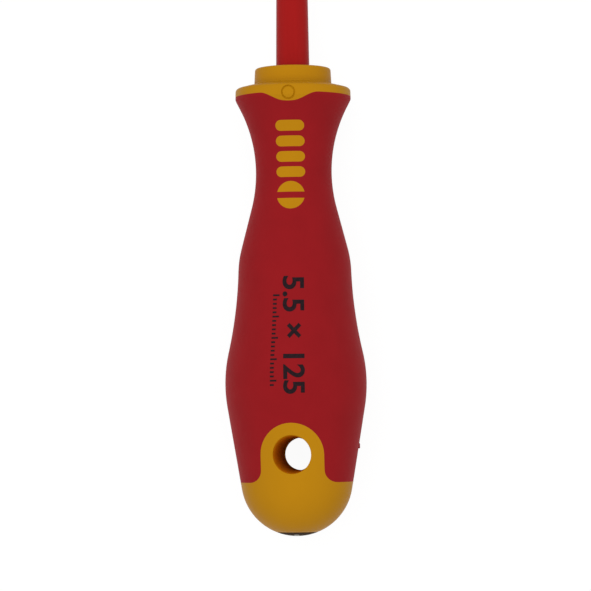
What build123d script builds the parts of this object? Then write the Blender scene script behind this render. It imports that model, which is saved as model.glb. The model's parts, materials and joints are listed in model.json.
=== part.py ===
from build123d import *

import math
import os

# Insulated flat-blade screwdriver, 5.5 x 1.0 x 125, with a moulded three-part handle.
# The tool lies on its side: +Y runs along it towards the tip and +Z is up. Every piece is drawn with
# the tool's axis on the Y axis, as (radius, station), and is put in its place when it is written.
# A station is the distance along the tool from the domed end of the handle. All sizes are in mm.

# Blade
BLADE_DIA = 5.5
BLADE_FREE = 125.0  # from the handle's boss to the tip
TANG_STATION = 42.0  # where the tang ends inside the handle
TANG_CHAMFER = 0.8
TIP_THICK = 1.0
TIP_FLAT = 1.5  # parallel stretch at the tip
GRIND_LEN = 12.5  # length of the hollow-ground faces
WING_SPAN, WING_THICK, WING_LEN = 8.6, 1.6, 9.0
WING_STATION = 51.0
WING_FILLET = 0.6

# Insulation on the blade
BARE_TIP = 15.0  # steel left bare, less than the 18 mm that a flat tip may have
INNER_WALL = 0.5
SLEEVE_DIA = 7.5
COLLAR_DIA = 7.95  # the sleeve thickens towards the handle
COLLAR_LEN = 18.0
SLEEVE_CHAMFER = 0.3
SLEEVE_ROOT = 94.0  # station where the sleeve starts inside the handle
LOCK_RING_DIA = 9.4
LOCK_RING_LEN = 2.0

# Outline of the handle: corners as (radius, station) and the radius that rounds each one
HANDLE_LEN = 111.25
DOME_RADIUS = 13.25
TAIL_ANGLE = 9.5  # half angle of the cone from the dome to the belly, in degrees
BELLY_STATION, BELLY_ROUND = 37.1, 33.5
FORE_CORNER, FORE_ROUND = (13.8, 53.0), 102.0
SHOULDER_CORNER, SHOULDER_ROUND = (13.33, 65.6), 23.7
WAIST_CORNER, WAIST_ROUND = (6.9, 90.25), 33.6
FLANGE_CORNER, FLANGE_ROUND = (13.75, 103.75), 0.8
FLANGE_TOP_CORNER, FLANGE_TOP_ROUND = (13.7, 106.3), 0.9
BOSS_ROOT_CORNER, BOSS_ROOT_ROUND = (9.2, 107.45), 0.35
BOSS_RIM_RADIUS, BOSS_RIM_ROUND = 9.0, 0.6

# Soft grip and the windows in it. The two halves of the mould part along Z, so window walls do too.
GRIP_START, GRIP_END = 12.8, 104.4
# Corners of the hard moulding under the grip, which leave the grip 1.5 to 2.5 mm thick
GRIP_FLOOR = [(11.2, GRIP_START), (14.6, 36.0), (11.2, 64.0), (7.3, 80.0), (7.3, 92.0), (11.5, GRIP_END)]
HOLE_STATION, HOLE_DIA, HOLE_EDGE_ROUND = 19.35, 7.8, 0.2
HOLE_TAPER = 2.4  # half angle of the hole's front half, which widens towards the front, in degrees
KEYHOLE_RADIUS, KEYHOLE_FOOT_ROUND = 7.45, 2.9
TONGUE_DEPTH, TONGUE_HALF_TOP, TONGUE_HALF_BOTTOM = 2.1, 6.1, 1.8
TONGUE_TOP_ROUND, TONGUE_BOTTOM_ROUND = 4.0, 6.0
INLAY_WIDTH, INLAY_BAR, INLAY_PITCH, INLAY_BARS = 6.8, 2.5, 3.6, 4
INLAY_FIRST_STATION = 96.7  # the bar nearest the flange
INLAY_DISC_DIA, INLAY_DISC_STATION = 6.6, 80.4
INLAY_SLOT = 1.5  # band of soft grip across the disc

# Core round the tang: a hexagonal head, which can't turn in the hard moulding, and a round neck
CORE_START, CORE_HEAD_END, CORE_END = 36.0, 62.0, 100.0
CORE_HEAD_FLATS = 15.0
CORE_HEAD_CHAMFER = 1.5
CORE_NECK_DIA = 11.0
CORE_GROOVE_DEPTH, CORE_GROOVE_LEN = 0.7, 2.0
CORE_GROOVES = [72.0, 78.0]

# Marker disc in the domed end
DISC_DIA, DISC_DEPTH = 9.8, 1.8
DISC_PIN_DIA, DISC_PIN_DEPTH = 3.2, 4.5

REACH = 20.0  # past the outside of the handle everywhere
TIP_STATION = HANDLE_LEN + BLADE_FREE
SLEEVE_END = TIP_STATION - BARE_TIP


def revolved(*corners, rounds=None):
    """A solid of revolution about Y, from (radius, station) corners that start and end on the axis."""
    with BuildPart() as part:
        with BuildSketch(Plane.XY):
            with BuildLine():
                FilletPolyline(*corners, radius=rounds or [0] * (len(corners) - 2))
                Line(corners[-1], corners[0])
            make_face()
        revolve(axis=Axis.Y)
    return part.part


def rod(dia, start, end):
    """A plain round length of the tool, from one station to another."""
    return revolved((0, start), (dia / 2, start), (dia / 2, end), (0, end))


def tail_radius(station):
    """Radius of the cone that leaves the dome at a tangent."""
    angle = math.radians(TAIL_ANGLE)
    foot = DOME_RADIUS * (1 - math.sin(angle))
    return DOME_RADIUS * math.cos(angle) + (station - foot) * math.tan(angle)


def handle_outside():
    """The whole handle as one solid: dome, belly, shoulder, waist, flange and boss."""
    belly_corner = (tail_radius(BELLY_STATION), BELLY_STATION)
    boss_rim = (BOSS_RIM_RADIUS, HANDLE_LEN)
    with BuildPart() as part:
        with BuildSketch(Plane.XY):
            with BuildLine():
                dome = CenterArc((0, DOME_RADIUS), DOME_RADIUS, -90, 90 - TAIL_ANGLE)
                FilletPolyline(
                    dome @ 1,
                    belly_corner,
                    FORE_CORNER,
                    SHOULDER_CORNER,
                    WAIST_CORNER,
                    FLANGE_CORNER,
                    FLANGE_TOP_CORNER,
                    BOSS_ROOT_CORNER,
                    boss_rim,
                    (0, HANDLE_LEN),
                    radius=[
                        BELLY_ROUND,
                        FORE_ROUND,
                        SHOULDER_ROUND,
                        WAIST_ROUND,
                        FLANGE_ROUND,
                        FLANGE_TOP_ROUND,
                        BOSS_ROOT_ROUND,
                        BOSS_RIM_ROUND,
                    ],
                )
                Line((0, HANDLE_LEN), (0, 0))
            make_face()
        revolve(axis=Axis.Y)
    return part.part


def grip_floor():
    """What the soft grip is moulded onto."""
    return revolved((0, GRIP_START), *GRIP_FLOOR, (0, GRIP_END))


def keyhole_windows():
    """Keyhole-shaped windows in the grip, front and back, round the hanging hole."""
    with BuildPart() as part:
        with BuildSketch(Plane.XY) as sketch:
            with Locations((0, HOLE_STATION)):
                Circle(KEYHOLE_RADIUS)
            shank_len = HOLE_STATION - GRIP_START
            with Locations((0, GRIP_START + shank_len / 2)):
                Rectangle(2 * KEYHOLE_RADIUS, shank_len)
            with Locations((0, GRIP_START / 2)):
                Rectangle(2 * REACH, GRIP_START)
            feet = sketch.vertices().filter_by(
                lambda v: abs(v.Y - GRIP_START) < 1e-3 and abs(abs(v.X) - KEYHOLE_RADIUS) < 1e-3
            )
            fillet(feet, KEYHOLE_FOOT_ROUND)
        extrude(amount=REACH, both=True)
    return part.part


def tongue_windows():
    """Windows for the tongues of the flange, front and back: straight flanks, rounded at both ends."""
    foot = GRIP_END - TONGUE_DEPTH
    outline = [(-REACH, GRIP_END), (-TONGUE_HALF_TOP, GRIP_END), (-TONGUE_HALF_BOTTOM, foot)]
    outline += [(TONGUE_HALF_BOTTOM, foot), (TONGUE_HALF_TOP, GRIP_END), (REACH, GRIP_END)]
    rounds = [TONGUE_TOP_ROUND, TONGUE_BOTTOM_ROUND, TONGUE_BOTTOM_ROUND, TONGUE_TOP_ROUND]
    with BuildPart() as part:
        with BuildSketch(Plane.XY):
            with BuildLine():
                FilletPolyline(*outline, radius=rounds)
                Polyline((REACH, GRIP_END), (REACH, HANDLE_LEN), (-REACH, HANDLE_LEN), (-REACH, GRIP_END))
            make_face()
        extrude(amount=REACH, both=True)
    return part.part


def inlay_windows():
    """Windows in the front of the waist: a column of plain bars and a disc with a slot across it."""
    with BuildPart() as part:
        with BuildSketch(Plane.XY):
            for i in range(INLAY_BARS):
                with Locations((0, INLAY_FIRST_STATION - i * INLAY_PITCH)):
                    SlotOverall(INLAY_WIDTH, INLAY_BAR)
            with Locations((0, INLAY_DISC_STATION)):
                Circle(INLAY_DISC_DIA / 2)
                Rectangle(INLAY_WIDTH, INLAY_SLOT, mode=Mode.SUBTRACT)
        extrude(amount=REACH)
    return part.part


def make_soft_grip(outside):
    band = rod(2 * REACH, GRIP_START, GRIP_END)
    sleeve = (outside & band) - grip_floor()
    return sleeve - keyhole_windows() - tongue_windows() - inlay_windows()


def make_blade():
    """Round bar with hollow-ground faces at the tip and pressed wings on the tang."""
    radius = BLADE_DIA / 2
    bar = revolved(
        (0, TANG_STATION),
        (radius - TANG_CHAMFER, TANG_STATION),
        (radius, TANG_STATION + TANG_CHAMFER),
        (radius, TIP_STATION),
        (0, TIP_STATION),
    )
    with BuildPart() as ground:
        with BuildSketch(Plane.YZ):
            with BuildLine():
                half = TIP_THICK / 2
                flat = Line((TIP_STATION, half), (TIP_STATION - TIP_FLAT, half))
                hollow = TangentArc(flat @ 1, (TIP_STATION - GRIND_LEN, radius), tangent=(-1, 0))
                Polyline(hollow @ 1, (TANG_STATION, radius), (TANG_STATION, 0), (TIP_STATION, 0), flat @ 0)
            make_face()
            mirror(about=Plane.XZ)
        extrude(amount=REACH, both=True)
    with BuildPart() as wings:
        with Locations((0, WING_STATION, 0)):
            Box(WING_SPAN, WING_LEN, WING_THICK)
        fillet(wings.edges().filter_by(Axis.Z), WING_FILLET)
    return (bar & ground.part) + wings.part


def make_inner_insulation():
    dia = BLADE_DIA + 2 * INNER_WALL
    return rod(dia, SLEEVE_ROOT, SLEEVE_END) - rod(BLADE_DIA, SLEEVE_ROOT, SLEEVE_END)


def sleeve_outside():
    """The red sleeve as a full round: lock ring in the handle, thicker collar, chamfered end."""
    thin, thick, ring = SLEEVE_DIA / 2, COLLAR_DIA / 2, LOCK_RING_DIA / 2
    return revolved(
        (0, SLEEVE_ROOT),
        (ring, SLEEVE_ROOT),
        (ring, SLEEVE_ROOT + LOCK_RING_LEN),
        (thick, SLEEVE_ROOT + LOCK_RING_LEN),
        (thick, HANDLE_LEN),
        (thin, HANDLE_LEN + COLLAR_LEN),
        (thin, SLEEVE_END - SLEEVE_CHAMFER),
        (thin - SLEEVE_CHAMFER, SLEEVE_END),
        (0, SLEEVE_END),
    )


def make_outer_insulation():
    return sleeve_outside() - rod(BLADE_DIA + 2 * INNER_WALL, SLEEVE_ROOT, SLEEVE_END)


def core_outside():
    """Stiff moulding round the tang: a chamfered hexagon in the belly and a grooved neck in the waist."""
    with BuildPart() as head:
        with BuildSketch(Plane.XZ.offset(-CORE_START)):
            RegularPolygon(CORE_HEAD_FLATS / 2, 6, major_radius=False)
        extrude(amount=-(CORE_HEAD_END - CORE_START))
        chamfer(head.faces().sort_by(Axis.Y)[0].edges(), CORE_HEAD_CHAMFER)
        chamfer(head.faces().sort_by(Axis.Y)[-1].edges(), CORE_HEAD_CHAMFER)
    neck = rod(CORE_NECK_DIA, CORE_HEAD_END - CORE_HEAD_CHAMFER, CORE_END)
    for start in CORE_GROOVES:
        end = start + CORE_GROOVE_LEN
        neck -= rod(CORE_NECK_DIA, start, end) - rod(CORE_NECK_DIA - 2 * CORE_GROOVE_DEPTH, start, end)
    return head.part + neck


def make_end_disc(outside):
    """Marker disc, flush with the dome, on a pin that goes into the handle."""
    face = outside & rod(DISC_DIA, 0, DISC_DEPTH)
    return face + rod(DISC_PIN_DIA, DISC_DEPTH / 2, DISC_PIN_DEPTH)


def hanging_hole():
    """The hole's space: a straight bore in the back half and a cone in the front half."""
    radius = HOLE_DIA / 2
    mouth = radius + REACH * math.tan(math.radians(HOLE_TAPER))
    cone = Cone(radius, mouth, REACH, align=(Align.CENTER, Align.CENTER, Align.MIN))
    bore = Cylinder(radius, REACH, align=(Align.CENTER, Align.CENTER, Align.MAX))
    return Pos(0, HOLE_STATION, 0) * (cone + bore)


def on_hole_rim(edge):
    """True for the curved edges where the hanging hole breaks through the outside."""
    middle = edge.position_at(0.5)
    from_axis = math.hypot(middle.X, middle.Y - HOLE_STATION)
    on_outside = abs(middle.Z) > DOME_RADIUS / 2
    return edge.geom_type != GeomType.LINE and from_axis < KEYHOLE_RADIUS - 1 and on_outside


def make_handle_body(outside, soft_grip, end_disc):
    """The hard moulding: what is left of the handle's outside, with the hanging hole through it."""
    body = outside - soft_grip - core_outside() - sleeve_outside() - end_disc
    body -= hanging_hole()
    rims = body.edges().filter_by(on_hole_rim)
    return fillet(rims, HOLE_EDGE_ROUND)


def main():
    os.makedirs("parts", exist_ok=True)
    outside = handle_outside()
    belly_radius = outside.bounding_box().max.Z
    place = Pos(0, -TIP_STATION / 2, belly_radius)
    blade = make_blade()
    soft_grip = make_soft_grip(outside)
    end_disc = make_end_disc(outside)
    pieces = {
        "blade": blade,
        "inner_insulation": make_inner_insulation(),
        "outer_insulation": make_outer_insulation(),
        "handle_core": core_outside() - sleeve_outside() - blade,
        "handle_body": make_handle_body(outside, soft_grip, end_disc),
        "soft_grip": soft_grip,
        "end_disc": end_disc,
    }
    for name, piece in pieces.items():
        export_step(place * piece, f"parts/{name}.step")
    print("axis height", round(belly_radius, 3), "length", TIP_STATION)


main()
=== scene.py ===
import json
import math

import bmesh
import bpy
from mathutils import Matrix, Vector
from mathutils.bvhtree import BVHTree

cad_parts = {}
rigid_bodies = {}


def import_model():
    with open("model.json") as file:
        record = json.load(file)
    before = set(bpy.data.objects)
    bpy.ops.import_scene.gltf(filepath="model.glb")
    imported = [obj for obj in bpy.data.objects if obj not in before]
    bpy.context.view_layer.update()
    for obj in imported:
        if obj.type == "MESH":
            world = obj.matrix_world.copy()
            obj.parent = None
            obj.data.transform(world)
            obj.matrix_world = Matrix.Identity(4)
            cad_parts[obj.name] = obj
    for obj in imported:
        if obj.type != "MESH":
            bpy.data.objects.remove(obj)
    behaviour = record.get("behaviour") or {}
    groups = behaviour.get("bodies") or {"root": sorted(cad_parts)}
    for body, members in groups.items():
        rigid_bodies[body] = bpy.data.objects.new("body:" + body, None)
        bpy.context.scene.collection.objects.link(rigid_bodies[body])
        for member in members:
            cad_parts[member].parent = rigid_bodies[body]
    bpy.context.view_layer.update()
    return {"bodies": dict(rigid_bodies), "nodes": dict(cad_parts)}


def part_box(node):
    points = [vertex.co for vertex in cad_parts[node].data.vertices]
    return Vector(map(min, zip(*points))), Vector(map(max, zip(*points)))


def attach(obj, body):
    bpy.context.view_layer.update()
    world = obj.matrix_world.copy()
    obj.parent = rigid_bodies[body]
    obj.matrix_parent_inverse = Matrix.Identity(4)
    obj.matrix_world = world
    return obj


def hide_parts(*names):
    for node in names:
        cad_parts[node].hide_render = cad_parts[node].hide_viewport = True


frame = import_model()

bl_info = {
    "name": "Insulated screwdriver",
    "version": (1, 0, 0),
    "blender": (4, 5, 0),
    "location": "3D View > Sidebar > Screwdriver",
    "description": "Dresses the packed screwdriver in moulded plastics, steel and print, on a pale stage",
    "category": "Add Mesh",
}


def mm(*sizes):
    """Millimetres as metres: one size, or a tuple of them."""
    metres = tuple(size * 0.001 for size in sizes)
    return metres[0] if len(metres) == 1 else metres


# Places from the frame. The tool's axis runs along Y, and a station is the distance from its domed end.
TOOL_BODY = next(iter(frame["bodies"]))
TAIL_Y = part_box("end_disc")[0].y
AXIS_HEIGHT = (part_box("soft_grip")[0].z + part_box("soft_grip")[1].z) / 2
GRIP_START, GRIP_END = (corner.y - TAIL_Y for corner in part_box("soft_grip"))
SLEEVE_ROOT, SLEEVE_END = (corner.y - TAIL_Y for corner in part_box("outer_insulation"))
TANG_STATION, TIP_STATION = (corner.y - TAIL_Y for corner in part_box("blade"))
HANDLE_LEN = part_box("handle_body")[1].y - TAIL_Y

# Outline of the handle: corners as (radius, station), and the radius that rounds each one
DOME_RADIUS = mm(13.25)
TAIL_ANGLE = math.radians(9.5)
BELLY_STATION, BELLY_ROUND = mm(37.1, 33.5)
FORE_CORNER, FORE_ROUND = mm(13.8, 53.0), mm(102)
SHOULDER_CORNER, SHOULDER_ROUND = mm(13.33, 65.6), mm(23.7)
WAIST_CORNER, WAIST_ROUND = mm(6.9, 90.25), mm(33.6)
FLANGE_CORNER, FLANGE_ROUND = mm(13.75, 103.75), mm(0.8)
FLANGE_TOP_CORNER, FLANGE_TOP_ROUND = mm(13.7, 106.3), mm(0.9)
BOSS_ROOT_CORNER, BOSS_ROOT_ROUND = mm(9.2, 107.45), mm(0.35)
BOSS_RIM_RADIUS, BOSS_RIM_ROUND = mm(9.0, 0.6)

# Hard moulding under the grip, the hollows in it, and the disc
GRIP_FLOOR = [mm(14.6, 36.0), mm(11.2, 64.0), mm(7.3, 80.0), mm(7.3, 92.0)]
FLOOR_START_RADIUS, FLOOR_END_RADIUS = mm(11.2, 11.5)
CORE_START, CORE_HEAD_END, CORE_END = mm(36, 62, 100)
CORE_HEAD_SIDES = 6
CORE_HEAD_FLATS, CORE_HEAD_CHAMFER, CORE_NECK_DIA = mm(15, 1.5, 11)
CORE_GROOVES = mm(72, 78)
CORE_GROOVE_DEPTH, CORE_GROOVE_LEN = mm(0.7, 2.0)
CORE_PAST = mm(0.01)  # of the hollow into the sleeve's bore, so that the two open into each other
DISC_DIA, DISC_DEPTH, DISC_PIN_DIA, DISC_PIN_DEPTH = mm(9.8, 1.8, 3.2, 4.5)
DISC_GAP, DISC_EDGE_ROUND = mm(0.03, 0.12)
POCKET_EDGE_ROUND, BORE_EDGE_ROUND = mm(0.12, 0.2)

# Windows in the grip and the hanging hole
HOLE_STATION, HOLE_DIA, HOLE_EDGE_ROUND = mm(19.35, 7.8, 0.2)
HOLE_TAPER = math.radians(2.4)  # of the front half, which widens towards the front
KEYHOLE_RADIUS, KEYHOLE_FOOT_ROUND = mm(7.45, 2.9)
TONGUE_DEPTH, TONGUE_HALF_TOP, TONGUE_HALF_BOTTOM = mm(2.1, 6.1, 1.8)
TONGUE_TOP_ROUND, TONGUE_BOTTOM_ROUND = mm(4, 6)
INLAY_WIDTH, INLAY_BAR, INLAY_PITCH, INLAY_FIRST_STATION = mm(6.8, 2.5, 3.6, 96.7)
INLAY_BARS = 4
INLAY_DISC_DIA, INLAY_DISC_STATION, INLAY_SLOT = mm(6.6, 80.4, 1.5)
RIM_ROUND = mm(0.09)  # where the two colours meet

# Blade and its insulation
BLADE_DIA, TANG_CHAMFER = mm(5.5, 0.8)
TIP_THICK, TIP_FLAT, GRIND_LEN, GRIND_PAST, TIP_EDGE_ROUND = mm(1.0, 1.5, 12.5, 2, 0.06)
WING_SPAN, WING_THICK, WING_LEN, WING_STATION = mm(8.6, 1.6, 9.0, 51.0)
INNER_WALL, SLEEVE_DIA, COLLAR_DIA, COLLAR_LEN = mm(0.5, 7.5, 7.95, 18)
SLEEVE_END_ROUND, INNER_END_ROUND, COLLAR_ROUND = mm(0.3, 0.08, 60)
LOCK_RING_DIA, LOCK_RING_LEN = mm(9.4, 2.0)

# Traces of the mould on the grip
PARTING_PROUD, PARTING_SUNK, PARTING_THICK, PARTING_INSET = mm(0.03, 0.12, 0.12, 1)
GATE_STATION, GATE_RADIUS, GATE_PROUD, GATE_SUNK, GATE_ROUND = mm(21.2, 0.6, 0.28, 0.4, 0.12)
GATE_ANGLE = math.radians(4)

# Engraved ring and prints
RING_STATION, RING_DIA, RING_LINE, RING_DEPTH = mm(104.25, 3.3, 0.38, 0.3)
PRINT_THICK, PRINT_STEP = mm(0.04, 0.6)
PRINT_LIFT = PRINT_THICK / 4
LETTER_DEPTH, LETTER_BOLDNESS = 0.01, 0.022  # before the text is fitted to its size
SCALE_STATION, SCALE_ANGLE = mm(46.1), math.radians(-13.7)
SCALE_MARKS, SCALE_LONG_EVERY = 22, 5
SCALE_PITCH, SCALE_SHORT, SCALE_LONG, SCALE_LINE = mm(1, 0.95, 1.6, 0.42)
DISC_BAR_WIDTH, DISC_BAR_LEN, DISC_BAR_ROUND, DISC_BAR_REACH = mm(1.2, 6.4, 0.3, 1.5)

# Stage, in metres unless said otherwise
BELLY_REST, FLANGE_REST = mm(36, 105)  # stations of the two places where the tool lies on the floor
FLOOR_HALF, FLOOR_GAP = 3, mm(0.05)
FLOOR_GREY, FLOOR_GLOW, GLOW_SHARE = 0.45, 1.17, 0.8
SKY_FADE_LOW, SKY_FADE_HIGH = math.radians(35), math.radians(68)  # above the horizon
LAMP_SIZE, LAMP_PLACE = 0.7, (0, 0.08, 0.88)
SENSOR_WIDTH = 36  # millimetres

# Cutting tools and mesh density
REACH = mm(20)  # past the outside of the handle everywhere
ROUND_STEPS, HOLE_STEPS, BAR_STEPS, SMALL_STEPS, GATE_STEPS = 180, 96, 96, 72, 32
RIM_STEPS = 4
MESH_STEP = mm(1.1)
ARC_STEP = math.radians(12)
TINY = mm(0.0005)
SMOOTH_BELOW = math.radians(32)
NOISE_LOW, NOISE_HIGH = 0.3, 0.7  # between which most values of a noise lie
# Material indices that tell the faces of a cutting tool from the rest until a piece is placed
PLAIN, MOULD_CUT, HOLLOW_CUT, HOLE_CUT, MARK_CUT = range(5)

WHOLE_TURN = 2 * math.pi
ALONG, ACROSS, UP = Vector((0, 1, 0)), Vector((1, 0, 0)), Vector((0, 0, 1))
CENTRE = Vector((0, 0, 0))


# ---------------------------------------------------------------- outlines and solids


def shift(bm, offset):
    """Moves a whole bmesh."""
    bmesh.ops.translate(bm, verts=bm.verts, vec=offset)


def rotate(bm, angle, axis):
    """Turns a whole bmesh about an axis through the origin."""
    bmesh.ops.rotate(bm, verts=bm.verts, cent=CENTRE, matrix=Matrix.Rotation(angle, 3, axis))


def resize(bm, factors):
    """Scales a whole bmesh from the origin."""
    bmesh.ops.scale(bm, verts=bm.verts, vec=factors)


def block(size, middle):
    """A cuboid, by its size and its middle."""
    bm = bmesh.new()
    bmesh.ops.create_cube(bm, size=1)
    resize(bm, size)
    shift(bm, middle)
    return bm


def run_to(bm, pen, target):
    """Extrudes the vertex in even steps to the target, and returns the last one."""
    length = (target - pen.co).length
    if length < TINY:
        return pen
    steps = max(1, round(length / MESH_STEP))
    stride = (target - pen.co) / steps
    for _ in range(steps):
        pen = bmesh.ops.extrude_vert_indiv(bm, verts=[pen])["verts"][0]
        bmesh.ops.translate(bm, verts=[pen], vec=stride)
    return pen


def swing(bm, pen, centre, turn):
    """Spins the vertex about a centre in the XY plane, and returns the last one."""
    radius = (pen.co - centre).length
    steps = max(2, math.ceil(abs(turn) / ARC_STEP), math.ceil(radius * abs(turn) / MESH_STEP))
    last = bmesh.ops.spin(bm, geom=[pen], cent=centre, axis=UP, angle=turn, steps=steps)["geom_last"]
    return next(item for item in last if isinstance(item, bmesh.types.BMVert))


def draw_outline(bm, corners, rounds=None, closed=False):
    """Draws straight runs between (x, y) corners, with an arc of the given radius at each inner corner."""
    points = [Vector((x, y, 0)) for x, y in corners]
    rounds = rounds or [0] * (len(points) - 2)
    first = pen = bm.verts.new(points[0])
    for before, corner, after, radius in zip(points, points[1:], points[2:], rounds):
        coming = (corner - before).normalized()
        going = (after - corner).normalized()
        turn = math.atan2(coming.cross(going).z, coming.dot(going))
        pen = run_to(bm, pen, corner - coming * radius * math.tan(abs(turn) / 2))
        if radius:
            side = UP.cross(coming) * math.copysign(radius, turn)
            pen = swing(bm, pen, pen.co + side, turn)
    pen = run_to(bm, pen, points[-1])
    if closed:
        bm.edges.new((pen, first))


def tidy_solid(bm):
    """Closes seams and poles, and turns the faces outwards."""
    bmesh.ops.remove_doubles(bm, verts=bm.verts, dist=TINY)
    bmesh.ops.recalc_face_normals(bm, faces=bm.faces)
    return bm


def turned(corners, rounds=None, closed=False, steps=ROUND_STEPS):
    """A solid turned about the tool's axis from (radius, station) corners."""
    bm = bmesh.new()
    draw_outline(bm, corners, rounds, closed)
    outline = bm.verts[:] + bm.edges[:]
    bmesh.ops.spin(bm, geom=outline, cent=CENTRE, axis=ALONG, angle=WHOLE_TURN, steps=steps, use_merge=True)
    return tidy_solid(bm)


def prism(corners, rounds=None, low=-REACH, high=REACH):
    """A closed outline in the XY plane, filled and extruded from one height to another."""
    bm = bmesh.new()
    draw_outline(bm, corners, rounds, closed=True)
    bmesh.ops.remove_doubles(bm, verts=bm.verts, dist=TINY)
    bmesh.ops.contextual_create(bm, geom=bm.edges[:])
    shift(bm, UP * low)
    raised = bmesh.ops.extrude_face_region(bm, geom=bm.faces[:], use_keep_orig=True)["geom"]
    raised = [item for item in raised if isinstance(item, bmesh.types.BMVert)]
    bmesh.ops.translate(bm, verts=raised, vec=UP * (high - low))
    return tidy_solid(bm)


def joined(*parts):
    """One bmesh that holds several, each as its own closed shell."""
    mesh = bpy.data.meshes.new("joined")
    whole = bmesh.new()
    for part in parts:
        part.to_mesh(mesh)
        part.free()
        whole.from_mesh(mesh)
    bpy.data.meshes.remove(mesh)
    return whole


def scratch_object(bm, name):
    """A short-lived object with a material slot for each index, so that its faces keep theirs."""
    mesh = bpy.data.meshes.new(name)
    for _ in range(MARK_CUT + 1):
        mesh.materials.append(None)
    bm.to_mesh(mesh)
    thing = bpy.data.objects.new(name, mesh)
    bpy.context.scene.collection.objects.link(thing)
    return thing


def cut(bm, tool, operation="DIFFERENCE", index=PLAIN):
    """The Boolean of two solids, which are used up. The faces that the tool makes have the index."""
    for face in tool.faces:
        face.material_index = index
    shape, cutter = scratch_object(bm, "shape"), scratch_object(tool, "cutter")
    change = shape.modifiers.new("cut", "BOOLEAN")
    change.operation = operation
    change.solver = "EXACT"
    change.object = cutter
    changed = bpy.data.meshes.new_from_object(shape.evaluated_get(bpy.context.evaluated_depsgraph_get()))
    if not changed.polygons:
        raise RuntimeError(f"the {operation.lower()} left nothing")
    result = bmesh.new()
    result.from_mesh(changed)
    bpy.data.meshes.remove(changed)
    for thing in (shape, cutter):
        bpy.data.meshes.remove(thing.data)
    bm.free()
    tool.free()
    return result


def rims(bm, *indices):
    """The edges where faces of two indices meet."""
    return [e for e in bm.edges if {face.material_index for face in e.link_faces} == set(indices)]


def soften(bm, edges, width, segments=2):
    """Rounds edges over, by a small bevel."""
    bmesh.ops.bevel(
        bm,
        geom=edges,
        offset=width,
        offset_type="OFFSET",
        segments=segments,
        profile=0.5,
        affect="EDGES",
        clamp_overlap=True,
        material=-1,
    )


def ring_edges(bm, radius, station):
    """The edges of a turned solid on the circle of that radius and station."""

    def on_circle(vert):
        """Whether the vertex lies on the circle."""
        off_axis = math.hypot(vert.co.x, vert.co.z)
        return abs(off_axis - radius) < 2 * TINY and abs(vert.co.y - station) < 2 * TINY

    return [edge for edge in bm.edges if all(on_circle(vert) for vert in edge.verts)]


def place_piece(bm, name, material, replaces=(), recesses=None):
    """Moves a solid from the tool's own axis to its place in the frame, and makes it a piece of the tool.

    In recesses, each kind of cut has the material of the faces that it left. The rest have the first one.
    """
    recesses = recesses or {}
    order = {kind: place for place, kind in enumerate(recesses, 1)}
    shift(bm, (0, TAIL_Y, AXIS_HEIGHT))
    for face in bm.faces:
        face.material_index = order.get(face.material_index, 0)
        face.smooth = True
    mesh = bpy.data.meshes.new(name)
    bm.to_mesh(mesh)
    bm.free()
    for each in (material, *recesses.values()):
        mesh.materials.append(each)
    mesh.set_sharp_from_angle(angle=SMOOTH_BELOW)
    piece = bpy.data.objects.new(name, mesh)
    bpy.context.scene.collection.objects.link(piece)
    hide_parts(*replaces)
    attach(piece, TOOL_BODY)
    return piece


# ---------------------------------------------------------------- forms of the handle


def tail_radius(station):
    """Radius of the cone that leaves the dome at a tangent."""
    foot = DOME_RADIUS * (1 - math.sin(TAIL_ANGLE))
    return DOME_RADIUS * math.cos(TAIL_ANGLE) + (station - foot) * math.tan(TAIL_ANGLE)


def dome_from(radius):
    """The dome's point at a radius, and the corner whose rounding follows the dome from there to the cone."""
    lean = math.asin(radius / DOME_RADIUS)
    start = Vector((radius, DOME_RADIUS * (1 - math.cos(lean))))
    turn = math.pi / 2 - TAIL_ANGLE - lean
    corner = start + Vector((math.cos(lean), math.sin(lean))) * DOME_RADIUS * math.tan(turn / 2)
    return tuple(start), tuple(corner)


def handle_outline(start_radius=0):
    """Corners and rounds of the handle's outside, from the dome to the rim of the boss."""
    dome_start, dome_corner = dome_from(start_radius)
    corners = [
        dome_start,
        dome_corner,
        (tail_radius(BELLY_STATION), BELLY_STATION),
        FORE_CORNER,
        SHOULDER_CORNER,
        WAIST_CORNER,
        FLANGE_CORNER,
        FLANGE_TOP_CORNER,
        BOSS_ROOT_CORNER,
        (BOSS_RIM_RADIUS, HANDLE_LEN),
    ]
    rounds = [
        DOME_RADIUS,
        BELLY_ROUND,
        FORE_ROUND,
        SHOULDER_ROUND,
        WAIST_ROUND,
        FLANGE_ROUND,
        FLANGE_TOP_ROUND,
        BOSS_ROOT_ROUND,
        BOSS_RIM_ROUND,
    ]
    return corners, rounds


def handle_outside():
    """The whole handle as one solid."""
    corners, rounds = handle_outline()
    return turned([*corners, (0, HANDLE_LEN)], rounds)


def keyhole_window():
    """Everything of the hard moulding that shows round the hanging hole and below it, front and back."""
    side, foot, top = KEYHOLE_RADIUS, GRIP_START, HOLE_STATION + KEYHOLE_RADIUS
    corners = [(REACH, -REACH), (REACH, foot), (side, foot), (side, top), (-side, top), (-side, foot)]
    corners += [(-REACH, foot), (-REACH, -REACH)]
    arch = KEYHOLE_RADIUS
    return prism(corners, [0, KEYHOLE_FOOT_ROUND, arch, arch, KEYHOLE_FOOT_ROUND, 0])


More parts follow.
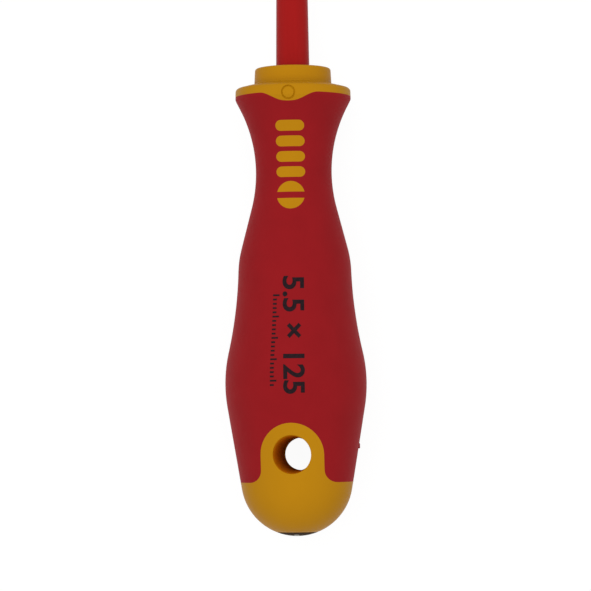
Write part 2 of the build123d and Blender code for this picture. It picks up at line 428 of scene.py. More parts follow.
def tongue_window():
    """The flange with its two tongues, whose flanks are straight between two roundings."""
    foot, past = GRIP_END - TONGUE_DEPTH, 2 * HANDLE_LEN
    half_top, half_bottom = TONGUE_HALF_TOP, TONGUE_HALF_BOTTOM
    corners = [(-REACH, past), (-REACH, GRIP_END), (-half_top, GRIP_END), (-half_bottom, foot)]
    corners += [(half_bottom, foot), (half_top, GRIP_END), (REACH, GRIP_END), (REACH, past)]
    top, bottom = TONGUE_TOP_ROUND, TONGUE_BOTTOM_ROUND
    return prism(corners, [0, top, bottom, bottom, top, 0])


def rounded_bar(width, height, station, round_radius, low, high):
    """A prism with a rounded rectangle as its outline."""
    half, bottom, top = width / 2, station - height / 2, station + height / 2
    corners = [(0, bottom), (half, bottom), (half, top), (-half, top), (-half, bottom), (0, bottom)]
    return prism(corners, [round_radius] * 4, low, high)


def slotted_disc(low, high):
    """A disc with a band left out across its middle."""
    radius, half_slot = INLAY_DISC_DIA / 2, INLAY_SLOT / 2

    def off_middle(vert):
        """Distance of the vertex from the line across the disc's middle."""
        return abs(vert.co.y - INLAY_DISC_STATION)

    disc = rounded_bar(INLAY_DISC_DIA, INLAY_DISC_DIA, INLAY_DISC_STATION, radius - TINY, low, high)
    for side in (-1, 1):
        plane = Vector((0, INLAY_DISC_STATION + side * half_slot, 0))
        whole = disc.verts[:] + disc.edges[:] + disc.faces[:]
        bmesh.ops.bisect_plane(disc, geom=whole, plane_co=plane, plane_no=ALONG)
    band = [vert for vert in disc.verts if off_middle(vert) < half_slot - TINY]
    bmesh.ops.delete(disc, geom=band, context="VERTS")
    across = [
        face for face in disc.faces if all(off_middle(vert) < half_slot + TINY for vert in face.verts)
    ]
    bmesh.ops.delete(disc, geom=across, context="FACES")
    bmesh.ops.holes_fill(disc, edges=[edge for edge in disc.edges if edge.is_boundary])
    return tidy_solid(disc)


def inlay_windows():
    """Plain bars and a slotted disc, which show on the front of the waist only."""
    stations = [INLAY_FIRST_STATION - i * INLAY_PITCH for i in range(INLAY_BARS)]
    end_round = INLAY_BAR / 2 - TINY
    bars = [rounded_bar(INLAY_WIDTH, INLAY_BAR, station, end_round, 0, REACH) for station in stations]
    return joined(*bars, slotted_disc(0, REACH))


def grip_mould():
    """The space that the soft grip fills, and more outside it: a sleeve round the floor, with windows."""
    past = mm(4)
    floor = [
        (REACH, GRIP_START - past),
        (FLOOR_START_RADIUS, GRIP_START - past),
        (FLOOR_START_RADIUS, GRIP_START),
        *GRIP_FLOOR,
        (FLOOR_END_RADIUS, GRIP_END),
        (FLOOR_END_RADIUS, GRIP_END + past),
        (REACH, GRIP_END + past),
    ]
    space = turned(floor, closed=True)
    for window in (keyhole_window(), tongue_window(), inlay_windows()):
        space = cut(space, window)
    return space


def hole_radius(height):
    """Radius of the hanging hole, whose back half is straight and whose front half widens."""
    return HOLE_DIA / 2 + max(height, 0) * math.tan(HOLE_TAPER)


def hole_with_rims():
    """The hanging hole's space, wider all over by the rounding of its rims."""
    ends = [(hole_radius(height) + HOLE_EDGE_ROUND, height) for height in (-REACH, 0, REACH)]
    space = turned([(0, -REACH), *ends, (0, REACH)], steps=HOLE_STEPS)
    rotate(space, math.pi / 2, "X")
    shift(space, (0, HOLE_STATION, 0))
    return space


def round_hole_rims(bm):
    """Draws the wide-cut hole in to its real size over rounded rims, and joins them through the handle."""
    centre = Vector((0, HOLE_STATION, 0))

    def off_centre(vert):
        """The level way from the hole's axis to the vertex."""
        return Vector((vert.co.x, vert.co.y, 0)) - centre

    wall = [face for face in bm.faces if face.material_index == HOLE_CUT]
    rim = rims(bm, PLAIN, HOLE_CUT)
    bmesh.ops.delete(bm, geom=wall, context="FACES")
    bm.normal_update()
    ends = []
    for side in (1, -1):
        loop = [edge for edge in rim if edge.verts[0].co.z * side > 0]
        starts = {}
        for vert in {vert for edge in loop for vert in edge.verts}:
            inwards = -off_centre(vert).normalized()
            slope = -inwards.dot(vert.normal) / vert.normal.z
            starts[vert] = (vert.co.copy(), inwards + UP * slope)
        for step in range(1, RIM_STEPS + 1):
            lean = math.pi / 2 * step / RIM_STEPS
            loop, older = extrude_loop(bm, loop)
            for vert, source in older.items():
                origin, inwards = starts.pop(source)
                along = inwards * math.sin(lean) - UP * side * (1 - math.cos(lean))
                vert.co = origin + along * HOLE_EDGE_ROUND
                starts[vert] = (origin, inwards)
        if side > 0:
            loop, older = extrude_loop(bm, loop)
            for vert in older:
                vert.co = centre + off_centre(vert).normalized() * hole_radius(0)
            for face in {face for edge in loop for face in edge.link_faces}:
                face.material_index = HOLE_CUT
        ends += loop
    for face in bmesh.ops.bridge_loops(bm, edges=ends)["faces"]:
        face.material_index = HOLE_CUT
    return tidy_solid(bm)


def extrude_loop(bm, loop):
    """Extrudes a loop of edges, and returns the new loop and the old vertex of each new one."""
    made = bmesh.ops.extrude_edge_only(bm, edges=loop)["geom"]
    fresh = [item for item in made if isinstance(item, bmesh.types.BMEdge)]
    verts = {vert for edge in fresh for vert in edge.verts}
    older = {}
    for vert in verts:
        older[vert] = next(e.other_vert(vert) for e in vert.link_edges if e.other_vert(vert) not in verts)
    return fresh, older


def engrave_ring(bm):
    """A plain round line in the front tongue, as deep all round."""
    outer, inner = RING_DIA / 2, RING_DIA / 2 - RING_LINE
    groove = turned([(inner, 0), (outer, 0), (outer, REACH), (inner, REACH)], closed=True, steps=SMALL_STEPS)
    rotate(groove, math.pi / 2, "X")
    shift(groove, (0, RING_STATION, 0))
    floor = handle_outside()
    shrink = 1 - RING_DEPTH / FLANGE_CORNER[0]
    resize(floor, (shrink, 1, shrink))
    return cut(bm, cut(groove, floor), index=MARK_CUT)


# ---------------------------------------------------------------- materials


def shader_of(material):
    """The one shader that a material has."""
    return material.node_tree.nodes["Principled BSDF"]


def set_inputs(node, inputs):
    """Sets even values on a node's sockets, by their names with _ for each space."""
    for socket, value in inputs.items():
        node.inputs[socket.replace("_", " ")].default_value = value


def add_node(tree, kind, **inputs):
    """A new shader node, with even values on the sockets that are named."""
    node = tree.nodes.new("ShaderNode" + kind)
    set_inputs(node, inputs)
    return node


def new_material(name, colour, roughness, **inputs):
    """A material with one shader, whose even values are set on its own sockets."""
    material = bpy.data.materials.new(name)
    material.use_nodes = True
    set_inputs(shader_of(material), {"Base Color": (*colour, 1), "Roughness": roughness, **inputs})
    return material


def add_noise(material, scale, detail, stretch=(1, 1, 1)):
    """Noise in the object's own coordinates, which returns its output from about 0 to 1."""
    tree = material.node_tree
    place = add_node(tree, "TexCoord")
    mapping = add_node(tree, "Mapping", Scale=stretch)
    noise = add_node(tree, "TexNoise", Scale=scale, Detail=detail)
    tree.links.new(place.outputs["Object"], mapping.inputs["Vector"])
    tree.links.new(mapping.outputs["Vector"], noise.inputs["Vector"])
    return noise.outputs["Fac"]


def spread(material, source, low=0, high=1):
    """Maps the usual values of a noise to a range."""
    tree = material.node_tree
    change = add_node(tree, "MapRange", From_Min=NOISE_LOW, From_Max=NOISE_HIGH, To_Min=low, To_Max=high)
    tree.links.new(source, change.inputs["Value"])
    return change.outputs["Result"]


def add_mix(tree):
    """A new node that mixes two colours."""
    mix = tree.nodes.new("ShaderNodeMix")
    mix.data_type = "RGBA"
    return mix


def vary_colour(material, source, colour, low, high):
    """Varies the base colour between two shades of a colour, by a noise."""
    tree = material.node_tree
    mix = add_mix(tree)
    set_inputs(mix, {"A": (*shade(colour, low), 1), "B": (*shade(colour, high), 1)})
    tree.links.new(spread(material, source), mix.inputs["Factor"])
    tree.links.new(mix.outputs["Result"], shader_of(material).inputs["Base Color"])


def vary_roughness(material, source, low, high):
    """Varies the roughness over a range, by a noise."""
    rough = spread(material, source, low, high)
    material.node_tree.links.new(rough, shader_of(material).inputs["Roughness"])


def add_bump(material, source, depth):
    """A relief of the given depth, by a noise."""
    tree = material.node_tree
    bump = add_node(tree, "Bump", Distance=depth)
    tree.links.new(source, bump.inputs["Height"])
    tree.links.new(bump.outputs["Normal"], shader_of(material).inputs["Normal"])


def paint_corner_shade(material, reach, share):
    """Paints shade into the base colour in inner corners: it falls off by a share where an occlusion node
    finds the surface sheltered.
    """
    tree = material.node_tree
    base = shader_of(material).inputs["Base Color"]
    source = base.links[0].from_socket
    corner_shade = add_node(tree, "AmbientOcclusion", Distance=reach)
    corner_shade.only_local = True
    corner_shade.samples = 8
    mix = add_mix(tree)
    set_inputs(mix, {"Factor": share})
    tree.links.new(source, corner_shade.inputs["Color"])
    tree.links.new(source, mix.inputs["A"])
    tree.links.new(corner_shade.outputs["Color"], mix.inputs["B"])
    tree.links.new(mix.outputs["Result"], base)


def seen_directly(tree):
    """1 for rays from the camera, and for reflected and refracted ones."""
    path = add_node(tree, "LightPath")
    total = path.outputs["Is Camera Ray"]
    for kind in ("Is Glossy Ray", "Is Transmission Ray"):
        add = add_node(tree, "Math")
        add.operation = "ADD"
        add.use_clamp = True
        tree.links.new(total, add.inputs[0])
        tree.links.new(path.outputs[kind], add.inputs[1])
        total = add.outputs["Value"]
    return total


def shade(colour, factor):
    """A colour made darker or lighter by a factor."""
    return tuple(channel * factor for channel in colour)


def soft_grip_rubber(colour):
    """Elastomer with the fine grain of a spark-eroded mould."""
    material = new_material(
        "soft_grip_rubber",
        colour,
        0.6,
        Specular_IOR_Level=0.07,
        Sheen_Weight=0.12,
        Sheen_Roughness=0.5,
        Sheen_Tint=(1, 0.09, 0.1, 1),
    )
    vary_colour(material, add_noise(material, 170, 4), colour, 0.96, 1.04)
    grain = add_noise(material, 5200, 2)
    vary_roughness(material, grain, 0.52, 0.68)
    add_bump(material, grain, mm(0.012))
    return material


def hard_handle_plastic(colour):
    """Polypropylene with slight flow marks, and painted shade in its inner corners."""
    material = new_material("hard_handle_plastic", colour, 0.45, Specular_IOR_Level=0.07)
    vary_colour(material, add_noise(material, 90, 4, (1, 0.35, 1)), colour, 0.97, 1.03)
    grain = add_noise(material, 2600, 2)
    vary_roughness(material, grain, 0.38, 0.52)
    add_bump(material, grain, mm(0.004))
    # painted shade: darker in inner corners, such as the root of the boss
    paint_corner_shade(material, mm(1.8), 0.6)
    return material


def recess_plastic_painted_light(name, colour):
    """The hard moulding as it is inside holes and engraved lines, where nothing polishes it. Its noise
    darkens the colour a little: painted shade in the recess.
    """
    material = new_material(name, colour, 0.9, Specular_IOR_Level=0)
    vary_colour(material, add_noise(material, 2600, 2), colour, 0.92, 1)
    return material


def sleeve_plastic(colour):
    """Smooth insulation, drawn along the blade."""
    material = new_material("sleeve_plastic", colour, 0.36, Specular_IOR_Level=0.06)
    streaks = add_noise(material, 1500, 3, (1, 0.03, 1))
    vary_colour(material, streaks, colour, 0.96, 1.04)
    vary_roughness(material, streaks, 0.3, 0.42)
    add_bump(material, streaks, mm(0.005))
    return material


def inner_sleeve_plastic(colour):
    """Warning layer under the outer insulation."""
    material = new_material("inner_sleeve_plastic", colour, 0.4, Specular_IOR_Level=0.2)
    vary_roughness(material, add_noise(material, 3000, 2), 0.34, 0.48)
    return material


def core_plastic(colour):
    """Glass-filled moulding round the tang."""
    material = new_material("core_plastic", colour, 0.5, Specular_IOR_Level=0.4)
    fibres = add_noise(material, 1800, 4, (1, 0.2, 1))
    vary_colour(material, fibres, colour, 0.8, 1.3)
    vary_roughness(material, fibres, 0.42, 0.58)
    return material


def disc_plastic(colour):
    """Dark satin marker disc."""
    material = new_material("disc_plastic", colour, 0.6, Specular_IOR_Level=0.01)
    grain = add_noise(material, 3200, 3)
    vary_colour(material, grain, colour, 0.85, 1.15)
    vary_roughness(material, grain, 0.46, 0.62)
    add_bump(material, grain, mm(0.004))
    return material


def blade_steel(colour):
    """Satin chrome-vanadium steel, with grinding lines across the tip."""
    material = new_material("blade_steel", colour, 0.28, Metallic=1.0)
    lines = add_noise(material, 2400, 3, (0.04, 1, 0.4))
    vary_colour(material, lines, colour, 0.8, 1.12)
    vary_roughness(material, lines, 0.2, 0.38)
    add_bump(material, lines, mm(0.004))
    return material


def printed_ink(name, colour):
    """Pad print, a little uneven."""
    material = new_material(name, colour, 0.5, Specular_IOR_Level=0.05)
    vary_colour(material, add_noise(material, 2200, 4), colour, 0.75, 1.25)
    return material


def floor_white():
    """White paper that mostly glows by itself where it is seen, so that it stays even round the shadow."""
    material = new_material("floor_white", [FLOOR_GREY] * 3, 0.9, Specular_IOR_Level=0)
    material.cycles.emission_sampling = "NONE"
    tree = material.node_tree
    glow = add_node(tree, "Emission", Strength=FLOOR_GLOW)
    mix = add_node(tree, "MixShader")
    share = add_node(tree, "Math")
    share.operation = "MULTIPLY"
    share.inputs[1].default_value = GLOW_SHARE
    tree.links.new(seen_directly(tree), share.inputs[0])
    tree.links.new(share.outputs["Value"], mix.inputs["Fac"])
    tree.links.new(shader_of(material).outputs["BSDF"], mix.inputs[1])
    tree.links.new(glow.outputs["Emission"], mix.inputs[2])
    tree.links.new(mix.outputs["Shader"], tree.nodes["Material Output"].inputs["Surface"])
    return material


# ---------------------------------------------------------------- settings


def colour_property(name, description, default):
    """A colour to choose."""
    return bpy.props.FloatVectorProperty(
        name=name, description=description, default=default, size=3, min=0, max=1, subtype="COLOR"
    )


def length_property(name, description, default):
    """A length or a place to choose, in metres."""
    return bpy.props.FloatProperty(name=name, description=description, default=default, unit="LENGTH")


def angle_property(name, description, degrees):
    """An angle to choose."""
    angle = math.radians(degrees)
    return bpy.props.FloatProperty(name=name, description=description, default=angle, subtype="ANGLE")


def light_property(name, description, default):
    """A strength of light to choose."""
    return bpy.props.FloatProperty(name=name, description=description, default=default, min=0)


class FinishSettings(bpy.types.PropertyGroup):
    """Colours of the tool's pieces."""

    grip: colour_property("Grip", "Colour of the soft grip", (0.297, 0.009, 0.0123))
    body: colour_property("Body", "Colour of the hard moulding", (0.505, 0.2253, 0.0035))
    # lighter and more orange than the body: painted light, as it bounces between the hole's walls
    hole_wall_painted_glow: colour_property("Hole wall", "Deeper colour inside the hanging hole", (0.68, 0.235, 0.0035))
    sleeve: colour_property("Sleeve", "Colour of the outer insulation", (0.366, 0.0102, 0.0098))
    inner_sleeve: colour_property("Inner sleeve", "Colour of the layer under it", (0.62, 0.36, 0.012))
    core: colour_property("Core", "Colour of the core in the handle", (0.05, 0.05, 0.055))
    disc: colour_property("End disc", "Colour of the marker disc", (0.046, 0.028, 0.015))
    disc_mark: colour_property("Disc mark", "Colour of the bar on the disc", (0.42, 0.41, 0.38))
    blade: colour_property("Blade", "Colour of the steel", (0.40, 0.40, 0.395))
    ink: colour_property("Ink", "Colour of the prints on the grip", (0.022, 0.012, 0.015))


class PrintSettings(bpy.types.PropertyGroup):
    """The size print on the grip."""

    size_text: bpy.props.StringProperty(
        name="Size text", description="Plain numerals that give the blade's size", default="5.5 × 125"
    )
    size_station: length_property("Size station", "Middle of the size print along the tool", mm(47.3))
    size_length: length_property("Size length", "Length of the size print along the tool", mm(27.6))
    size_height: length_property("Size height", "Height of the numerals", mm(5.1))
    size_angle: angle_property("Size angle", "Place of the size print round the handle, from the top", 3.2)


class StageSettings(bpy.types.PropertyGroup):
    """The view and the light."""

    view_tilt: angle_property("View tilt", "Lean of the view towards the tip", 2.5)
    view_roll: angle_property("View roll", "Lean of the view to the left", 4.8)
    view_turn: angle_property("View turn", "Turn of the view about the line of sight", -0.6)
    view_distance: length_property("View distance", "From the camera to the tool's axis", 0.7235)
    view_station: length_property("View station", "Point of the tool in the middle of the view", mm(57.08))
    view_shift: length_property("View shift", "Sideways, from the axis to the middle of the view", mm(0.098))
    focal_length: bpy.props.FloatProperty(
        name="Focal length", description="Focal length of the camera, in mm", default=185.2
    )
    sky_light: light_property("Sky light", "Even light from all round", 0.65)
    lamp_power: light_property("Lamp power", "Power of the soft lamp overhead, in watts", 3.25)
    zenith: light_property("Zenith", "Brightness that gloss reflects from overhead", 0.12)


# ---------------------------------------------------------------- operators


class SCREWDRIVER_OT_handle(bpy.types.Operator):
    """Add the two-colour handle: hard moulding and soft grip, cut from one outside"""

    bl_idname = "screwdriver.add_handle"
    bl_label = "Handle"

    def execute(self, context):
        finish = context.scene.screwdriver_finish
        grip = cut(handle_outside(), grip_mould(), "INTERSECT", MOULD_CUT)
        soften(grip, rims(grip, PLAIN, MOULD_CUT), RIM_ROUND)
        rubber = soft_grip_rubber(finish.grip)
        place_piece(grip, "grip", rubber, ["soft_grip"])
        place_piece(self.parting_line(), "grip_parting_line", rubber)
        place_piece(self.gate(), "grip_gate", rubber)

        body = engrave_ring(cut(self.body_solid(), grip_mould(), index=MOULD_CUT))
        body = cut(body, self.core_hollow(), index=HOLLOW_CUT)
        body = round_hole_rims(cut(body, hole_with_rims(), index=HOLE_CUT))
        soften(body, rims(body, PLAIN, MOULD_CUT), RIM_ROUND)
        # The hole's wall gets painted light, a lighter and more orange copy of the body's colour; both
        # recesses get painted shade, a little darker by noise
        recesses = {
            HOLE_CUT: recess_plastic_painted_light("hole_wall_painted_glow_plastic", finish.hole_wall_painted_glow),
            MARK_CUT: recess_plastic_painted_light("engraved_plastic_painted_shade", finish.body),
        }
        place_piece(body, "body", hard_handle_plastic(finish.body), ["handle_body"], recesses)
        return {"FINISHED"}

    @staticmethod
    def body_solid():
        """The hard moulding before the grip is cut out: pocket for the disc, outside, bore for the sleeve."""
        corners, rounds = handle_outline(DISC_DIA / 2)
        pin, pocket, collar = DISC_PIN_DIA / 2, DISC_DIA / 2, COLLAR_DIA / 2
        start = [(0, DISC_PIN_DEPTH), (pin, DISC_PIN_DEPTH), (pin, DISC_DEPTH), (pocket, DISC_DEPTH)]
        end = [(collar, HANDLE_LEN), (collar, CORE_END), (0, CORE_END)]
        rounds = [0, 0, 0, 0, *rounds, 0, 0]
        solid = turned([*start, *corners, *end], rounds)
        soften(solid, ring_edges(solid, pocket, corners[0][1]), POCKET_EDGE_ROUND)
        soften(solid, ring_edges(solid, collar, HANDLE_LEN), BORE_EDGE_ROUND)
        return solid

    @staticmethod
    def parting_line():
        """The fine raised line where the two halves of the mould met, along both sides of the grip."""
        proud, sunk = 1 + PARTING_PROUD / FORE_CORNER[0], 1 - PARTING_SUNK / FORE_CORNER[0]
        skin, inside = handle_outside(), handle_outside()
        resize(skin, (proud, 1, proud))
        resize(inside, (sunk, 1, sunk))
        middle, length = (GRIP_START + GRIP_END) / 2, GRIP_END - GRIP_START - 2 * PARTING_INSET
        sheet = block((2 * REACH, length, PARTING_THICK), (0, middle, 0))
        return cut(cut(sheet, skin, "INTERSECT"), inside)

    @staticmethod
    def gate():
        """The stub that the mould's gate leaves on the side of the grip."""
        outline = [(0, -GATE_SUNK), (GATE_RADIUS, -GATE_SUNK), (GATE_RADIUS, GATE_PROUD), (0, GATE_PROUD)]
        stub = turned(outline, steps=GATE_STEPS)
        soften(stub, ring_edges(stub, GATE_RADIUS, GATE_PROUD), GATE_ROUND, segments=3)
        rotate(stub, -math.pi / 2, "Z")
        shift(stub, (tail_radius(GATE_STATION), GATE_STATION, 0))
        rotate(stub, GATE_ANGLE, "Y")
        return stub

    @staticmethod
    def core_hollow():
        """What the core fills: a chamfered head of six sides, which can't turn, and a neck with grooves."""
        to_corner = 1 / math.cos(math.pi / CORE_HEAD_SIDES)
        wide, chamfer = CORE_HEAD_FLATS / 2 * to_corner, CORE_HEAD_CHAMFER
        narrow = wide - chamfer * to_corner
        head = [
            (0, CORE_START),
            (narrow, CORE_START),
            (wide, CORE_START + chamfer),
            (wide, CORE_HEAD_END - chamfer),
            (narrow, CORE_HEAD_END),
            (0, CORE_HEAD_END),
        ]
        neck, inside, past = CORE_NECK_DIA / 2, CORE_HEAD_END - 2 * chamfer, CORE_END + CORE_PAST
        tail = [(0, inside), (neck, inside)]
        for start in CORE_GROOVES:
            floor, end = neck - CORE_GROOVE_DEPTH, start + CORE_GROOVE_LEN
            tail += [(neck, start), (floor, start), (floor, end), (neck, end)]
        tail += [(neck, past), (0, past)]
        return cut(turned(head, steps=CORE_HEAD_SIDES), turned(tail, steps=SMALL_STEPS), "UNION")


class SCREWDRIVER_OT_end_disc(bpy.types.Operator):
    """Add the dark marker disc in the domed end, with a plain bar on it"""

    bl_idname = "screwdriver.add_end_disc"
    bl_label = "End disc"

    def execute(self, context):
        pin, rim = DISC_PIN_DIA / 2, DISC_DIA / 2 - DISC_GAP
        edge = dome_from(rim)[0]
        crown = math.asin(rim / DOME_RADIUS)
        crown_corner = (DOME_RADIUS * math.tan(crown / 2), 0)
        corners = [(0, 0), crown_corner, edge, (rim, DISC_DEPTH), (pin, DISC_DEPTH)]
        corners += [(pin, DISC_PIN_DEPTH), (0, DISC_PIN_DEPTH)]
        disc = turned(corners, [DOME_RADIUS, 0, 0, 0, 0])
        soften(disc, ring_edges(disc, rim, edge[1]), DISC_EDGE_ROUND)
        finish = context.scene.screwdriver_finish
        place_piece(disc, "end_disc_dressed", disc_plastic(finish.disc), ["end_disc"])
        pale_ink = printed_ink("disc_mark_ink", finish.disc_mark)
        place_piece(self.bar_mark(), "disc_bar_mark", pale_ink)
        return {"FINISHED"}

    @staticmethod
    def bar_mark():
        """A plain bar printed across the middle of the disc, for a flat blade."""
        bar = rounded_bar(DISC_BAR_WIDTH, DISC_BAR_LEN, 0, DISC_BAR_ROUND, -DISC_BAR_REACH, DISC_BAR_REACH)
        rotate(bar, math.pi / 2, "X")
        skin, inside = handle_outside(), handle_outside()
        shift(skin, ALONG * -PRINT_THICK / 2)
        shift(inside, ALONG * PRINT_THICK)
        return cut(cut(bar, skin, "INTERSECT"), inside)


class SCREWDRIVER_OT_insulation(bpy.types.Operator):
    """Add the red sleeve and the yellow layer under it"""

    bl_idname = "screwdriver.add_insulation"
    bl_label = "Blade insulation"

    def execute(self, context):
        thin, thick, ring = SLEEVE_DIA / 2, COLLAR_DIA / 2, LOCK_RING_DIA / 2
        bore, bar = BLADE_DIA / 2 + INNER_WALL, BLADE_DIA / 2
        ring_end = SLEEVE_ROOT + LOCK_RING_LEN
        # The outline starts and ends halfway across the end face, so that its outer corner can be rounded
        halfway = ((bore + thin) / 2, SLEEVE_END)
        red = turned(
            [
                halfway,
                (bore, SLEEVE_END),
                (bore, SLEEVE_ROOT),
                (ring, SLEEVE_ROOT),
                (ring, ring_end),
                (thick, ring_end),
                (thick, HANDLE_LEN),
                (thin, HANDLE_LEN + COLLAR_LEN),
                (thin, SLEEVE_END),
                halfway,
            ],
            [0, 0, 0, 0, 0, 0, COLLAR_ROUND, SLEEVE_END_ROUND],
            steps=BAR_STEPS,
        )
        finish = context.scene.screwdriver_finish
        outer, inner = sleeve_plastic(finish.sleeve), inner_sleeve_plastic(finish.inner_sleeve)
        place_piece(red, "outer_sleeve", outer, ["outer_insulation"])
        yellow = turned(
            [(bore, SLEEVE_END), (bore, SLEEVE_ROOT), (bar, SLEEVE_ROOT), (bar, SLEEVE_END)],
            closed=True,
            steps=BAR_STEPS,
        )
        soften(yellow, ring_edges(yellow, bar, SLEEVE_END), INNER_END_ROUND)
        place_piece(yellow, "inner_sleeve", inner, ["inner_insulation"])
        return {"FINISHED"}


class SCREWDRIVER_OT_blade(bpy.types.Operator):
    """Add the steel blade with its hollow-ground tip and the wings on its tang"""

    bl_idname = "screwdriver.add_blade"
    bl_label = "Blade"

    def execute(self, context):
        radius = BLADE_DIA / 2
        corners = [
            (0, TANG_STATION),
            (radius - TANG_CHAMFER, TANG_STATION),
            (radius, TANG_STATION + TANG_CHAMFER),
            (radius, TIP_STATION),
            (0, TIP_STATION),
        ]
        bar = turned(corners, steps=BAR_STEPS)
        for side in (1, -1):
            bar = cut(bar, self.grinding(side), index=MARK_CUT)
        soften(bar, rims(bar, PLAIN, MARK_CUT), TIP_EDGE_ROUND)
        wings = block((WING_SPAN, WING_LEN, WING_THICK), (0, WING_STATION, 0))
        blade = cut(bar, wings, "UNION")
        steel = blade_steel(context.scene.screwdriver_finish.blade)
        place_piece(blade, "steel_blade", steel, ["blade"])
        return {"FINISHED"}

    @staticmethod
    def grinding(side):
        """What the wheel takes off one side: a hollow that runs out into the flat at the tip."""
        half, radius = TIP_THICK / 2, BLADE_DIA / 2
        run, drop = GRIND_LEN - TIP_FLAT, radius - half
        turn = 2 * math.atan(drop / run)
        wheel = run / math.sin(turn)
        corner = TIP_STATION - TIP_FLAT - wheel * math.tan(turn / 2)
        past, start = TIP_STATION + GRIND_PAST, TIP_STATION - GRIND_LEN - GRIND_PAST
        rise = math.tan(turn) * GRIND_PAST
        beyond = radius + GRIND_PAST + rise
        corners = [(past, half), (corner, half), (start, radius + rise), (start, beyond), (past, beyond)]
        shape = prism(corners, [wheel, 0, 0])
        across_along_up = Matrix(((0, 0, 1), (1, 0, 0), (0, 1, 0)))
        bmesh.ops.transform(shape, matrix=across_along_up.to_4x4(), verts=shape.verts)
        if side < 0:
            rotate(shape, math.pi, "Y")
        return shape


class SCREWDRIVER_OT_prints(bpy.types.Operator):
    """Add the plain size numerals and scale marks on the grip"""

    bl_idname = "screwdriver.add_prints"
    bl_label = "Prints"

    def execute(self, context):
        settings = context.scene.screwdriver_print
        skin = handle_outside()
        skin_tree = BVHTree.FromBMesh(skin)
        skin.free()
        ink = printed_ink("print_ink", context.scene.screwdriver_finish.ink)
        numerals = self.text_print(settings.size_text, settings.size_length, settings.size_height)
        self.lay(numerals, skin_tree, settings.size_angle, settings.size_station)
        place_piece(numerals, "size_print", ink)
        marks = self.scale_print()
        self.lay(marks, skin_tree, SCALE_ANGLE, SCALE_STATION)
        place_piece(marks, "scale_print", ink)
        return {"FINISHED"}

    @staticmethod
    def text_print(text, length, height):
        """Thick text that reads towards the domed end, fitted to a length and a height."""
        curve = bpy.data.curves.new("size_text", "FONT")
        curve.body = text
        curve.extrude = LETTER_DEPTH
        curve.offset = LETTER_BOLDNESS
        thing = bpy.data.objects.new("size_text", curve)
        bpy.context.scene.collection.objects.link(thing)
        mesh = bpy.data.meshes.new_from_object(thing.evaluated_get(bpy.context.evaluated_depsgraph_get()))
        bm = bmesh.new()
        bm.from_mesh(mesh)
        bpy.data.objects.remove(thing)
        bpy.data.curves.remove(curve)
        bpy.data.meshes.remove(mesh)
        tidy_solid(bm)
        low = Vector(min(v.co[axis] for v in bm.verts) for axis in range(3))
        high = Vector(max(v.co[axis] for v in bm.verts) for axis in range(3))
        size = high - low
        shift(bm, -(low + high) / 2)
        resize(bm, (length / size.x, height / size.y, PRINT_THICK / size.z))
        rotate(bm, -math.pi / 2, "Z")
        return bm

    @staticmethod
    def scale_print():
        """A plain row of short and long marks, evenly apart, whose left ends line up."""
        marks = []
        for i in range(SCALE_MARKS):
            width = SCALE_SHORT if i % SCALE_LONG_EVERY else SCALE_LONG
            along = ((SCALE_MARKS - 1) / 2 - i) * SCALE_PITCH
            marks.append(block((width, SCALE_LINE, PRINT_THICK), ((width - SCALE_LONG) / 2, along, 0)))
        return joined(*marks)

    @staticmethod
    def lay(bm, skin_tree, angle, station):
        """Wraps a flat print round the handle: x runs round it, y along it, and z stands on its surface."""
        for axis in (ACROSS, ALONG):
            reach = max(abs(vert.co.dot(axis)) for vert in bm.verts)
            count = math.ceil(reach / PRINT_STEP)
            for i in range(-count, count + 1):
                whole, place = bm.verts[:] + bm.edges[:] + bm.faces[:], axis * i * PRINT_STEP
                bmesh.ops.bisect_plane(bm, geom=whole, plane_co=place, plane_no=axis, dist=TINY)
        for vert in bm.verts:
            across, along, height = vert.co
            y = station + along
            hit = skin_tree.ray_cast(Vector((0, y, REACH)), -UP)[0]
            if hit is None:
                raise RuntimeError("a print misses the handle")
            radius = hit.z
            turn = angle + across / radius
            radius += height + PRINT_LIFT
            vert.co = Vector((radius * math.sin(turn), y, radius * math.cos(turn)))


class SCREWDRIVER_OT_core(bpy.types.Operator):
    """Give the core inside the handle its own finish"""

    bl_idname = "screwdriver.dress_core"
    bl_label = "Core"

    def execute(self, context):
        core = frame["nodes"]["handle_core"]
        core.data.materials.clear()
        core.data.materials.append(core_plastic(context.scene.screwdriver_finish.core))
        return {"FINISHED"}


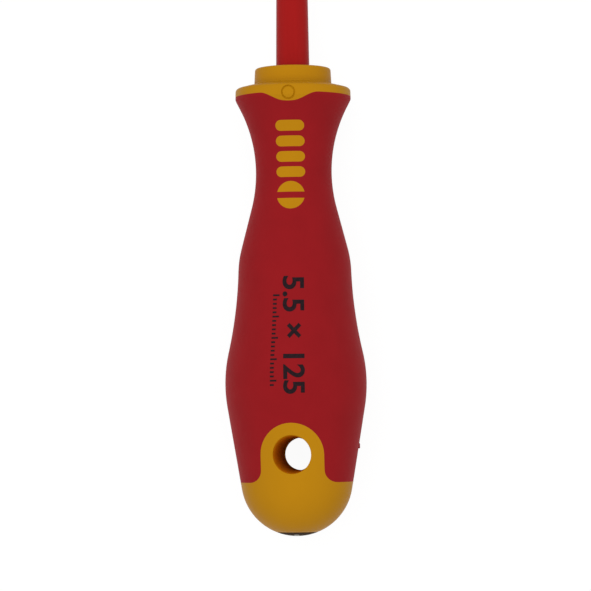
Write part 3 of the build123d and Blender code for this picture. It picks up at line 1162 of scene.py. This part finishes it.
class SCREWDRIVER_OT_stage(bpy.types.Operator):
    """Set the pale floor, the soft light and the camera"""

    bl_idname = "screwdriver.set_stage"
    bl_label = "Stage"

    def execute(self, context):
        settings = context.scene.screwdriver_stage
        self.add_floor()
        self.set_sky(settings)
        self.add_lamp(settings)
        self.add_camera(settings)
        context.scene.view_settings.view_transform = "Standard"
        return {"FINISHED"}

    @staticmethod
    def add_floor():
        """A sheet under the tool, leaned so that the belly and the flange both rest on it."""
        lean = math.atan2(AXIS_HEIGHT - FLANGE_CORNER[0], FLANGE_REST - BELLY_REST)
        bm = bmesh.new()
        bmesh.ops.create_grid(bm, x_segments=1, y_segments=1, size=FLOOR_HALF)
        rotate(bm, lean, "X")
        shift(bm, (0, TAIL_Y + BELLY_REST, -FLOOR_GAP))
        mesh = bpy.data.meshes.new("floor")
        bm.to_mesh(mesh)
        bm.free()
        mesh.materials.append(floor_white())
        floor = bpy.data.objects.new("floor", mesh)
        bpy.context.scene.collection.objects.link(floor)

    @staticmethod
    def set_sky(settings):
        """Even light for the object, white behind it, and a dark overhead for its gloss."""
        world = bpy.data.worlds.new("studio")
        bpy.context.scene.world = world
        world.use_nodes = True
        world.cycles.sampling_method = "NONE"
        tree = world.node_tree
        light = tree.nodes["Background"]
        set_inputs(light, {"Strength": settings.sky_light, "Color": (1, 1, 1, 1)})
        shown = add_node(tree, "Background")
        place = add_node(tree, "TexCoord")
        split = add_node(tree, "SeparateXYZ")
        low, high = math.sin(SKY_FADE_LOW), math.sin(SKY_FADE_HIGH)
        fade = add_node(tree, "MapRange", From_Min=low, From_Max=high, To_Min=1, To_Max=settings.zenith)
        fade.interpolation_type = "SMOOTHSTEP"
        tree.links.new(place.outputs["Generated"], split.inputs["Vector"])
        tree.links.new(split.outputs["Z"], fade.inputs["Value"])
        tree.links.new(fade.outputs["Result"], shown.inputs["Color"])
        mix = add_node(tree, "MixShader")
        tree.links.new(seen_directly(tree), mix.inputs["Fac"])
        tree.links.new(light.outputs["Background"], mix.inputs[1])
        tree.links.new(shown.outputs["Background"], mix.inputs[2])
        tree.links.new(mix.outputs["Shader"], tree.nodes["World Output"].inputs["Surface"])

    @staticmethod
    def add_lamp(settings):
        """A large soft lamp overhead, which leaves no highlight."""
        lamp = bpy.data.lights.new("soft_lamp", "AREA")
        lamp.shape = "SQUARE"
        lamp.size = LAMP_SIZE
        lamp.energy = settings.lamp_power
        thing = bpy.data.objects.new("soft_lamp", lamp)
        thing.location = LAMP_PLACE
        thing.visible_glossy = False
        bpy.context.scene.collection.objects.link(thing)

    @staticmethod
    def add_camera(settings):
        """A long lens almost straight above the tool, leaned as the settings say."""
        camera = bpy.data.cameras.new("camera")
        camera.sensor_width = SENSOR_WIDTH
        camera.lens = settings.focal_length
        thing = bpy.data.objects.new("camera", camera)
        thing.rotation_euler = (settings.view_tilt, settings.view_roll, settings.view_turn)
        back = thing.rotation_euler.to_matrix() @ UP
        middle = Vector((settings.view_shift, TAIL_Y + settings.view_station, AXIS_HEIGHT))
        thing.location = middle + back * settings.view_distance
        bpy.context.scene.collection.objects.link(thing)
        bpy.context.scene.camera = thing


class SCREWDRIVER_PT_panel(bpy.types.Panel):
    """The screwdriver's pieces and settings"""

    bl_idname = "SCREWDRIVER_PT_panel"
    bl_label = "Insulated screwdriver"
    bl_space_type = "VIEW_3D"
    bl_region_type = "UI"
    bl_category = "Screwdriver"

    def draw(self, context):
        """Lists the operators, and then the settings of each group."""
        for operator in OPERATORS:
            self.layout.operator(operator.bl_idname)
        for name, settings in SETTINGS.items():
            box = self.layout.box()
            for setting in settings.__annotations__:
                box.prop(getattr(context.scene, name), setting)


OPERATORS = (
    SCREWDRIVER_OT_handle,
    SCREWDRIVER_OT_end_disc,
    SCREWDRIVER_OT_insulation,
    SCREWDRIVER_OT_blade,
    SCREWDRIVER_OT_prints,
    SCREWDRIVER_OT_core,
    SCREWDRIVER_OT_stage,
)
SETTINGS = {
    "screwdriver_finish": FinishSettings,
    "screwdriver_print": PrintSettings,
    "screwdriver_stage": StageSettings,
}
CLASSES = (*SETTINGS.values(), *OPERATORS, SCREWDRIVER_PT_panel)


def register():
    """Adds the classes, and the settings to the scene."""
    for each in CLASSES:
        bpy.utils.register_class(each)
    for name, settings in SETTINGS.items():
        setattr(bpy.types.Scene, name, bpy.props.PointerProperty(type=settings))


def unregister():
    """Takes the settings and the classes away again."""
    for name in SETTINGS:
        delattr(bpy.types.Scene, name)
    for each in reversed(CLASSES):
        bpy.utils.unregister_class(each)


def main():
    """Makes every piece and the stage."""
    register()
    for operator in OPERATORS:
        group, name = operator.bl_idname.split(".")
        getattr(getattr(bpy.ops, group), name)()


if __name__ == "__main__":
    main()
